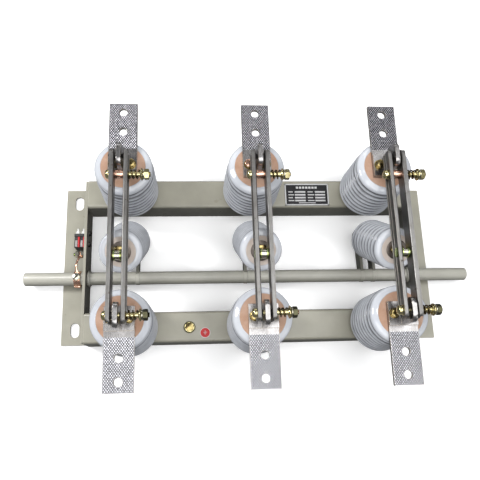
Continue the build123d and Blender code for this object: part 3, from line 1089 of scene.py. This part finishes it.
@dataclass
class FixedContact:
    """Terminal bar with its knurled pad, foot plate and tab."""

    pole: Pole
    row: Row
    width: float = 53.0
    reach: float = 126.0
    bar_top: float = 195.0
    foot_half: float = 21.5
    smooth_strip: float = 11.0
    holes: tuple[float, float] = (107.5, 67.5)
    hole_radius: float = 7.5
    knurl_wide: float = 2.16
    knurl_deep: float = 2.9
    knurl_height: float = 0.85

    def build(self) -> None:
        """Dress the bar and lay the knurling on its pad."""
        name = f"{self.pole.label}_{self.row.label}"
        dress_node(f"{name}_contact", TIN, TIN_WORN_EDGE_HIGHLIGHT)
        piece = Piece(f"{name}_knurling", "frame", "tinned_copper")
        # The jaw row's pads take the darker copy of the knurled tin as painted shade.
        piece.add(self.knurling(), JAW_KNURL_SHADED if self.row is Row.JAW else KNURL, flat=True)
        piece.finish_off()

    def knurling(self) -> Mesh:
        """Return the pad's small pyramids, left out round the two holes.

        Returns:
            A mesh with the depth attribute, whose rim is sunk into the bar.
        """
        inner = self.foot_half + self.smooth_strip
        wide, deep = self.width - 1.2, self.reach - inner - 0.6
        columns, rows = round(wide / self.knurl_wide), round(deep / self.knurl_deep)
        middle = Vector((self.pole.value, self.row.y + self.row.value * (inner + deep / 2), self.bar_top))
        centres = [Vector((self.pole.value, self.row.y + self.row.value * at)) for at in self.holes]
        work = bmesh.new()
        bmesh.ops.create_grid(work, x_segments=columns, y_segments=rows, size=0.5)
        bmesh.ops.scale(work, vec=(wide, deep, 1.0), verts=work.verts)
        bmesh.ops.translate(work, vec=middle, verts=work.verts)
        depth = work.verts.layers.float.new("depth")
        grooves, inside = [], []
        for point in work.verts:
            across = round((point.co.x - middle.x + wide / 2) / wide * columns)
            down = round((point.co.y - middle.y + deep / 2) / deep * rows)
            low = across in (0, columns) or down in (0, rows)
            if (across + down) % 2 == 0:
                grooves.append(point)
                point[depth] = 1.0
                low = True
            point.co.z += 0.03 if low else self.knurl_height
            nearest = min(centres, key=lambda centre: (point.co.xy - centre).length)
            away = point.co.xy - nearest
            if away.length < self.hole_radius - 1.7:
                inside.append(point)
            elif away.length < self.hole_radius + 1.3:
                rim = nearest + away.normalized() * (self.hole_radius + 0.5)
                point.co = (*rim, self.bar_top + 0.05)
        bmesh.ops.connect_verts(work, verts=grooves)
        bmesh.ops.delete(work, geom=inside, context="VERTS")
        border = [edge for edge in work.edges if edge.is_boundary]
        for point in points_in(bmesh.ops.extrude_edge_only(work, edges=border)["geom"]):
            point.co.z = self.bar_top - 0.6
        bmesh.ops.recalc_face_normals(work, faces=work.faces)
        return work


@dataclass
class ContactBolts:
    """The hex bolts with washers on the foot plates of the contacts."""

    foot_top: float = 199.0
    from_middle: float = 16.0

    def build(self) -> None:
        """Make two bolts for each contact, one piece for each row."""
        for row in Row:
            piece = steelwork(f"{row.label}_contact_bolt_set", "frame", f"{row.label}_contact_bolts")
            for number, pole in enumerate(Pole):
                for side in (-1, 1):
                    middle = (pole.value + side * self.from_middle, row.y, self.foot_top)
                    reddish = (row, pole, side) == (Row.JAW, Pole.CENTRE, -1)
                    piece.stack(
                        along(middle, Z_WAY, 17.0 * number + 11.0 * side),
                        (washer(9.6, 4.6, 1.4), ZINC_GOLD),
                        (washer(7.4, 4.6, 1.6, 1.4), ZINC_PALE),
                        (hexagon(14.0, 5.4, 3.0, both=False), COPPER if reddish else ZINC_GOLD),
                    )
            piece.finish_off()


@dataclass
class BladePair:
    """Two channel blades with their pressure bolts, springs, distance tube and cross bolt."""

    pole: Pole
    jaw_bolt_y: float = 107.5
    half_gap: float = 8.5
    wall: float = 3.0
    bolt_radius: float = 4.9
    spring_length: float = 27.0
    spring_wire: float = 2.9
    inner_washer: float = 1.8
    cup_sink: float = 1.8

    @property
    def web(self) -> float:
        """Distance of a blade's outer face from the middle of the pole."""
        return self.half_gap + self.wall

    def build(self) -> None:
        """Dress the blades and make the fittings across them."""
        label = self.pole.label
        for side in ("left", "right"):
            dress_node(f"{label}_{side}_blade", BLADE_TIN, BLADE_BEND_HIGHLIGHT)
        dress_node(f"{label}_spacer", COPPER, bevel=0.4)
        bolts = steelwork(f"{label}_pressure_bolts", f"{label}_blades", f"{label}_bolts")
        hinge_tip = COPPER if self.pole is Pole.CENTRE else OLIVE_STEEL
        self.pressure_bolt(bolts, Row.HINGE.y, 8.0, OLIVE_STEEL, hinge_tip)
        self.pressure_bolt(bolts, self.jaw_bolt_y, 31.0, ZINC_YELLOW, ZINC_YELLOW)
        bolts.stack(
            along((self.pole.value, CROSS_BOLT_Y, BLADE_AXIS), turn=15.0),
            (rod(self.bolt_radius, -self.web - 2.0, self.web + 2.0), ZINC_GOLD),
            (hexagon(15.0, 4.0, -self.web - 4.0), ZINC_GREEN),
            (hexagon(15.0, 4.0, self.web), OLIVE_STEEL),
        )
        bolts.finish_off()
        springs = steelwork(f"{label}_coil_springs", f"{label}_blades", f"{label}_springs")
        free = self.spring_length - self.inner_washer - self.cup_sink
        for y in (Row.HINGE.y, self.jaw_bolt_y):
            lift = Matrix.Translation((0.0, 0.0, self.web + self.inner_washer))
            spot = along((self.pole.value, y, BLADE_AXIS), turn=40.0) @ lift
            springs.add(coil(7.3, self.spring_wire, free, 3.0), SPRING_STEEL, spot)
        springs.finish_off()

    def pressure_bolt(self, piece: Piece, y: float, turn: float, nut: Finish, tip: Finish) -> None:
        """Add one pressure bolt: round head and washers on the left, and the spring's seat on the right.

        Args:
            piece: The piece that takes the bolt.
            y: Its place along the blades.
            turn: Angle of its nut.
            nut: Finish of the nut.
            tip: Finish of the threaded end.
        """
        left, bore, seat = -self.web, self.bolt_radius, self.web + self.spring_length
        head = [(0.0, -13.2), (3.5, -13.0), (6.6, -11.8), (8.2, -9.6), (8.3, -5.0), (0.0, -5.0)]
        cup = [(bore, -self.cup_sink), (7.4, -self.cup_sink), (8.4, -0.2), (10.8, 0.1)]
        cup += [(11.0, 1.0), (10.2, 2.4), (8.8, 3.4), (bore, 3.8)]
        piece.stack(
            along((self.pole.value, y, BLADE_AXIS), turn=turn),
            (rod(bore, left - 3.0, seat), ZINC_YELLOW),
            (stud(bore, seat + 10.0, seat + 16.5), tip),
            (washer(9.4, 4.6, 1.9, left - 1.9), ZINC_PALE),
            (washer(9.0, 4.6, 1.5, left - 3.4), ZINC_YELLOW),
            (washer(7.8, 4.6, 1.6, left - 5.0), ZINC_PALE),
            (turned([(radius, left + lift) for radius, lift in head]), ZINC_YELLOW),
            (turned([(radius, seat + lift) for radius, lift in cup], closed=True), ZINC_YELLOW),
            (washer(8.9, bore, 1.5, seat + 3.8), ZINC_PALE),
            (washer(9.6, bore, self.inner_washer, self.web), ZINC_YELLOW),
            (hexagon(17.0, 8.6, seat + 5.3), nut),
        )


@dataclass
class DrawRod:
    """Ribbed draw-rod insulator with the threaded ends that join it to blades and crank."""

    pole: Pole
    top: tuple[float, float] = (CROSS_BOLT_Y, BLADE_AXIS)
    low: tuple[float, float] = (55.222, 20.939)
    face: float = 38.0
    length: float = 150.0
    cap_height: float = 15.0
    rim_radius: float = 39.0
    rib_high: float = 39.5
    rib_low: float = 42.0
    core_radius: float = 30.0
    face_radius: float = 28.0
    rib_count: int = 8
    foot_height: float = 8.0
    stud_radius: float = 7.0
    smooth_cap: float = 13.0
    steps_round: int = 84

    @property
    def line(self) -> Matrix:
        """Place of the rod.

        Returns:
            A matrix from the top pin, with local Z down the rod and local X along the shaft.
        """
        down = Vector((0.0, self.low[0] - self.top[0], self.low[1] - self.top[1])).normalized()
        side = Vector(X_WAY)
        turn = Matrix((side, down.cross(side), down)).transposed().to_4x4()
        return Matrix.Translation((self.pole.value, *self.top)) @ turn

    def build(self) -> None:
        """Make the porcelain body, its end face and the metal ends."""
        label = self.pole.label
        rides = f"{label}_draw_rod"
        body = Piece(f"{label}_glazed_draw_insulator", rides, "porcelain", (f"{label}_draw_insulator",), 60.0)
        body.add(with_depth(turned(self.outline(), self.steps_round), self.outer_radius), GLAZE, self.line)
        body.finish_off()
        face = Piece(f"{label}_draw_end_face", rides, "porcelain")
        face.add(washer(self.face_radius - 0.8, 18.0, 1.0, self.face - 0.6), PALE_BISCUIT, self.line)
        face.finish_off()
        ends = steelwork(f"{label}_draw_rod_fittings", rides, f"{label}_draw_rod_ends")
        self.fill_ends(ends)
        ends.finish_off()

    def outline(self) -> Profile:
        """Draw the half section, from the axis at the upper face to the axis at the lower one.

        Returns:
            Radius and distance from the top pin of each point.
        """
        start, core, shoulder = self.face, self.core_radius, self.face_radius + 1.5
        points: Profile = [(0.0, start), (self.face_radius - 1.0, start), (shoulder, start - 0.2)]
        for share in (step / 12 for step in range(1, 12)):
            turn = math.pi * share
            inner = shoulder + (core - shoulder) * share
            radius = inner + (self.rim_radius - inner) * math.sin(turn) ** 0.6
            points.append((radius, start + self.cap_height * (1 - math.cos(turn)) / 2))
        first, end = start + self.cap_height, start + self.length
        pitch = (self.length - self.cap_height - self.foot_height) / self.rib_count
        for rib in range(self.rib_count):
            tip = self.outer_radius(first + (rib + 0.5) * pitch)
            points += rounded_rib(first + rib * pitch, pitch, core, tip)
        points += [(core, end - self.foot_height), (core + 0.5, end - 2.0), (core - 1.0, end)]
        return points + [(0.0, end)]

    def outer_radius(self, height: float) -> float:
        """Radius of the rib tips at a height, which grows towards the lower end."""
        if height < self.face + self.smooth_cap:
            return self.face_radius
        return self.rib_high + (self.rib_low - self.rib_high) * (height - self.face) / self.length

    def fill_ends(self, piece: Piece) -> None:
        """Add the insert, nuts, studs, eyes and the bolt through the crank.

        Args:
            piece: The piece that takes them.
        """
        face, end = self.face, self.face + self.length
        span = math.dist(self.low, self.top)
        insert = [(0.0, 0.0), (18.6, 0.0), (18.6, -1.6), (17.4, -2.2), (11.5, -2.2), (0.0, -2.0)]
        piece.stack(
            self.line,
            (turned([(radius, face + lift) for radius, lift in insert]), INSERT_STEEL),
            (hexagon(22.0, 8.0, face - 10.0), ZINC_GOLD),
            (stud(self.stud_radius, 9.0, face - 8.0), ZINC_GOLD),
            (hexagon(22.0, 9.0, end), ZINC_PALE),
            (stud(self.stud_radius, end + 8.0, span - 7.0), ZINC_PALE),
        )
        # The upper eye is pale zinc all over, a painted highlight in place of the bright spot on its top.
        for pin, half, bore, reach, outer, inner, metal in (
            (self.top, 6.5, 5.3, 8.0, 9.6, 5.3, ZINC_PALE),
            (self.low, 9.0, 0.0, 10.0, 10.4, 2.0, OLIVE_STEEL),
        ):
            piece.stack(
                along((self.pole.value, *pin)),
                (ring(bore, reach, -half, half, 0.8, 48), metal),
                (washer(outer, inner, 2.4, -half - 0.1), ZINC_GREEN),
                (washer(outer, inner, 2.4, half - 2.3), ZINC_GREEN),
            )
        piece.stack(
            along((self.pole.value, *self.low), turn=10.0),
            (rod(5.0, -18.0, 18.0), ZINC_GOLD),
            (hexagon(17.0, 3.0, -20.0), ZINC_GOLD),
            (hexagon(17.0, 3.0, 17.0), ZINC_GOLD),
        )


@dataclass
class OperatingShaft:
    """The turning shaft with its cranks and the earthing clamp on its left end."""

    y: float = -34.5
    z: float = 28.0
    radius: float = 13.5
    crank_reach: float = 90.0
    crank_angle: float = -4.5
    crank_end: float = 14.0
    crank_gap: float = 20.0
    crank_plate: float = 6.0
    crank_washer: float = 0.8
    clamp_x: float = -359.6
    band_width: float = 13.6
    link_start: Place = (-354.5, 12.0, 39.0)
    link_bow: Place = (-2.5, 0.0, 7.0)
    link_steps: int = 22

    def build(self) -> None:
        """Dress shaft and cranks and make the clamp with its link."""
        dress_node("operating_shaft", SHAFT_LIT_PAINT, bevel=0.3)
        for pole in Pole:
            self.crank(pole)
        self.clamp()
        self.link()

    def arm(self) -> Mesh:
        """Make one arm, lying flat along the local X axis from the shaft to its rounded end.

        Returns:
            A mesh of the closed arm.
        """
        work = bmesh.new()
        for out, radius in ((0.0, self.radius - 0.6), (self.crank_reach, self.crank_end)):
            spot = Matrix.Translation((out, 0.0, 0.0))
            bmesh.ops.create_circle(work, cap_ends=False, segments=48, radius=radius, matrix=spot)
        hull = bmesh.ops.convex_hull(work, input=work.verts)
        bmesh.ops.delete(work, geom=points_in(hull["geom_interior"]), context="VERTS")
        bmesh.ops.dissolve_limit(work, angle_limit=0.02, verts=work.verts, edges=work.edges)
        grown = points_in(bmesh.ops.extrude_face_region(work, geom=work.faces[:])["geom"])
        bmesh.ops.translate(work, vec=(0.0, 0.0, self.crank_plate), verts=grown)
        return close_up(work)

    def crank(self, pole: Pole) -> None:
        """Make two arms welded to the shaft, with a bead round each and a washer at the pin.

        Args:
            pole: The pole whose draw rod they move.
        """
        piece = Piece(f"{pole.label}_crank_arms", "shaft", "frame_paint", (f"{pole.label}_crank",))
        lean = Matrix.Rotation(math.radians(self.crank_angle), 4, "X")
        flat = lean @ Matrix.Rotation(math.pi / 2, 4, "Y") @ Matrix.Rotation(math.pi / 2, 4, "Z")
        axis = along((pole.value, self.y, self.z))
        for side in (-1, 1):
            inner = side * self.crank_gap / 2 - (self.crank_plate if side < 0 else 0.0)
            outer = inner + self.crank_plate
            place = Matrix.Translation((pole.value + inner, self.y, self.z)) @ flat
            bead = [(-0.2, inner - 1.6), (0.7, inner - 0.6), (0.9, outer + 0.6), (-0.2, outer + 1.6)]
            pin = place @ Vector((self.crank_reach, 0.0, 0.0))
            pin.x = pole.value
            start = outer if side > 0 else inner - self.crank_washer
            piece.add(self.arm(), SHADED_PAINT, place)
            piece.add(turned([(self.radius + lift, x) for lift, x in bead], 56), SHAFT_LIT_PAINT, axis)
            piece.add(washer(10.5, 7.2, self.crank_washer, start), SHADED_PAINT, along(pin))
        piece.finish_off()

    def clamp(self) -> None:
        """Make the copper band round the shaft, with a lug and a hex bolt on top."""
        piece = Piece("shaft_earth_band", "shaft", "copper", ("shaft_earth_clamp",))
        x, half, side, top = self.clamp_x, self.band_width / 2, self.y - self.radius, self.band_top
        band = washer(self.radius + 2.6, self.radius - 0.1, self.band_width, -half)
        piece.add(band, COPPER, along((x, self.y, self.z)))
        low, high = (x - half, side - 5.0, self.z - 4.0), (x + half - 1.0, side + 1.0, self.z + 4.0)
        piece.add(block(low, high, 1.4), COPPER)
        piece.add(block((x - 6.5, self.y - 7.0, top - 1.5), (x + 6.5, self.y + 9.0, top + 1.2), 0.8), COPPER)
        piece.stack(
            along((x, self.y + 1.0, top + 1.2), Z_WAY, 9.0),
            (washer(7.8, 3.2, 1.2), ZINC_PALE),
            (hexagon(13.0, 4.6, 1.2, both=False), ZINC_PALE),
            (stud(3.2, 4.0, 7.4, 1.2), ZINC_PALE),
        )
        piece.finish_off()

    @property
    def band_top(self) -> float:
        """Height of the clamp's band over the shaft."""
        return self.z + self.radius + 1.6

    def link(self) -> None:
        """Make the flexible copper link from the bolt on the web to the clamp, with a slack bow in it."""
        start, end = Vector(self.link_start), Vector((self.clamp_x + 0.5, self.y + 9.0, self.band_top + 2.2))
        piece = Piece("flexible_earth_link", "frame", "copper", bends_to=("shaft", start, end))
        work = bmesh.new()
        before: set[Point] = set()
        for step in range(self.link_steps + 1):
            share = step / self.link_steps
            middle = start.lerp(end, share) + Vector(self.link_bow) * math.sin(math.pi * share)
            half = 2.2 + 2.8 * (abs(share - 0.5) * 2) ** 5 + 0.12 * math.sin(step * 2.1)
            across = bmesh.ops.create_circle(work, cap_ends=False, segments=10, radius=1.0)["verts"]
            for point in across:
                point.co = middle + Vector((point.co.x * half, 0.0, point.co.y * 1.1))
            if before:
                both = before.union(across)
                rims = [edge for edge in work.edges if both.issuperset(edge.verts)]
                bmesh.ops.bridge_loops(work, edges=rims)
            before = set(across)
        bmesh.ops.holes_fill(work, edges=work.edges, sides=0)
        piece.add(close_up(work), COPPER)
        piece.finish_off()


@dataclass
class LeftEndFittings:
    """Moulded block, its studs and strips, and the bolt of the earthing link, all on the left web."""

    web: float = -344.5
    web_inside: float = -339.5
    block_low: tuple[float, float] = (28.0, 18.0)
    block_high: tuple[float, float] = (57.0, 48.0)
    block_reach: float = 22.0
    screws: tuple[float, float] = (38.0, 62.0)
    screw_z: float = 33.0
    link_bolt: tuple[float, float] = (15.6, 36.0)

    def build(self) -> None:
        """Make the block, its screws and the bolt of the link."""
        self.stop_block()
        nuts = steelwork("stop_block_bolt_ends", "frame", "stop_block_nuts")
        for y in self.screws:
            spot = along((self.web_inside, y, self.screw_z), turn=5.0)
            nuts.stack(spot, (hexagon(10.0, 3.6), DARK_STEEL), (stud(2.9, 0.0, 6.0, 1.0), DARK_STEEL))
        nuts.finish_off()
        self.bolt_stack()

    def stop_block(self) -> None:
        """Make the black block with two studs at one end and two pairs of strips on its top."""
        piece = Piece("stop_block_with_strips", "frame", "black_moulding", ("stop_block",))
        (y0, z0), (y1, z1) = self.block_low, self.block_high
        web, out = self.web, self.web - self.block_reach
        piece.add(block((out, y0, z0), (web, y1, z1 - 3.0), 1.0), BLACK_MOULDING)
        piece.add(block((out, y1 - 6.0, z1 - 4.0), (web, y1, z1), 0.8), BLACK_MOULDING)
        for x in (out + 2.4, out + 13.0):
            grey = block((x, y0 + 1.5, z1 - 4.0), (x + 4.2, y1 - 14.0, z1 - 1.0), 0.5)
            red = block((x + 5.0, y0 + 0.5, z1 - 4.0), (x + 8.8, y1 - 6.5, z1 - 0.2), 0.6)
            piece.add(grey, GREY_STRIP)
            piece.add(red, RED_MOULDING)
        for x in (out + 6.3, out + 17.6):
            piece.stack(
                along((x, y1, z1 - 6.5), Y_WAY),
                (rod(2.6, -1.0, 8.0, 0.5), WHITE_MOULDING),
                (hexagon(7.4, 5.4, 1.0), WHITE_MOULDING),
                (stud(2.0, 7.0, 13.0, 1.2), WHITE_MOULDING),
            )
        piece.finish_off()

    def bolt_stack(self) -> None:
        """Make the bolt through the web with nuts and washers, and the copper lug of the link."""
        piece = steelwork("earth_link_bolt", "frame")
        spot = along((self.web, *self.link_bolt), (-1, 0, 0), 6.0)
        under = ((washer(8.4, 4.0, 2.6), ZINC_PALE), (washer(8.9, 4.0, 1.6, 2.6), INSERT_STEEL))
        piece.stack(spot, *under, (hexagon(13.0, 4.6, 4.2), ZINC_PALE))
        piece.add(block((self.web - 12.6, 8.0, 31.0), (self.web - 8.8, 21.0, 41.0), 1.2), COPPER)
        over = ((washer(8.0, 4.0, 1.6, 12.6), INSERT_STEEL), (hexagon(13.0, 6.2, 14.2), ZINC_PALE))
        piece.stack(spot, *over, (stud(4.0, 4.0, 24.0), ZINC_GREEN))
        piece.finish_off()


@dataclass
class Studio:
    """Pale floor, soft lights and the camera at the photograph's angle. Places here are metres."""

    camera_at: Place = (-0.12149, -0.27080, 1.08846)
    camera_turn: Place = (0.23102, -0.07107, -0.02083)
    lens: float = 38.70
    shift: tuple[float, float] = (0.0182, 0.0647)
    floor_half: float = 6.0

    def build(self) -> None:
        """Make the stage, the lights and the camera."""
        self.floor()
        self.world()
        self.light("overhead_softbox", (0.22, -0.36, 2.0), (0.05, -0.18, 0.1), (2.9, 1.5), 44.0)
        self.light("far_side_strip", (0.0, 0.95, 0.65), (0.0, 0.1, 0.1), (1.5, 0.15), 2.2)
        self.light("upper_left_key", (-1.5, 0.5, 1.6), (0.0, 0.0, 0.15), (0.5, 0.5), 30.0)
        self.light("lower_right_fill", (1.5, -1.0, 1.2), (0.0, 0.0, 0.15), (0.9, 0.9), 3.0)
        self.camera()
        bpy.context.scene.view_settings.view_transform = "Standard"

    def floor(self) -> None:
        """Make the wide pale floor under the frame, which looks brighter than the light it gives back."""
        work = bmesh.new()
        bmesh.ops.create_grid(work, x_segments=1, y_segments=1, size=self.floor_half)
        mesh = bpy.data.meshes.new("studio_floor")
        work.to_mesh(mesh)
        work.free()
        floor = bpy.data.objects.new("studio_floor", mesh)
        bpy.context.scene.collection.objects.link(floor)
        made = bpy.data.materials.new("pale_floor")
        made.use_nodes = True
        shader = Shader(made.node_tree)
        seen = shader.node("ShaderNodeLightPath").outputs["Is Camera Ray"]
        surface = {
            "Base Color": shader.mix(seen, (0.18, 0.18, 0.18), (0.97, 0.97, 0.97)),
            "Emission Color": (1.0, 1.0, 1.0),
            "Emission Strength": shader.maths("MULTIPLY", seen, 0.25),
            "Roughness": 0.95,
            "Specular IOR Level": 0.1,
        }
        shader.feed(made.node_tree.nodes["Principled BSDF"], surface)
        mesh.materials.append(made)

    def world(self) -> None:
        """Make even pale surroundings."""
        world = bpy.data.worlds.new("studio_surroundings")
        world.use_nodes = True
        shader = Shader(world.node_tree)
        seen = shader.node("ShaderNodeLightPath").outputs["Is Camera Ray"]
        strength = shader.spread(seen, 0.0, 1.0, 0.22, 0.80)
        shader.feed(world.node_tree.nodes["Background"], {0: (0.95, 0.97, 1.0), 1: strength})
        bpy.context.scene.world = world

    def light(
        self, name: str, place: Place, target: Place, size: tuple[float, float], power: float
    ) -> None:
        """Add a rectangular area light.

        Args:
            name: Name of the light.
            place: Where it stands.
            target: The point it faces.
            size: Its width and height.
            power: Its power in watts.
        """
        data = bpy.data.lights.new(name, "AREA")
        data.shape = "RECTANGLE"
        data.size, data.size_y = size
        data.energy = power
        lamp = bpy.data.objects.new(name, data)
        bpy.context.scene.collection.objects.link(lamp)
        aim = (Vector(target) - Vector(place)).to_track_quat("-Z", "Y").to_matrix().to_4x4()
        lamp.matrix_world = Matrix.Translation(place) @ aim

    def camera(self) -> None:
        """Make the camera that was fitted to the photograph."""
        data = bpy.data.cameras.new("photo_camera")
        data.lens = self.lens
        data.sensor_width = 36.0
        data.shift_x, data.shift_y = self.shift
        data.clip_start, data.clip_end = 0.01, 50.0
        camera = bpy.data.objects.new("photo_camera", data)
        bpy.context.scene.collection.objects.link(camera)
        turn = Vector(self.camera_turn)
        aim = Quaternion(turn.normalized(), turn.length).to_matrix().to_4x4()
        camera.matrix_world = Matrix.Translation(self.camera_at) @ aim
        bpy.context.scene.camera = camera


def main() -> None:
    """Build every sub-assembly in order."""
    logging.basicConfig(level=logging.INFO, format="%(name)s: %(message)s")
    SteelFrame().build()
    for row in Row:
        for pole in Pole:
            PostInsulator(pole, row).build()
            FixedContact(pole, row).build()
    ContactBolts().build()
    for pole in Pole:
        BladePair(pole).build()
        DrawRod(pole).build()
    OperatingShaft().build()
    LeftEndFittings().build()
    Studio().build()


if __name__ == "__main__":
    main()
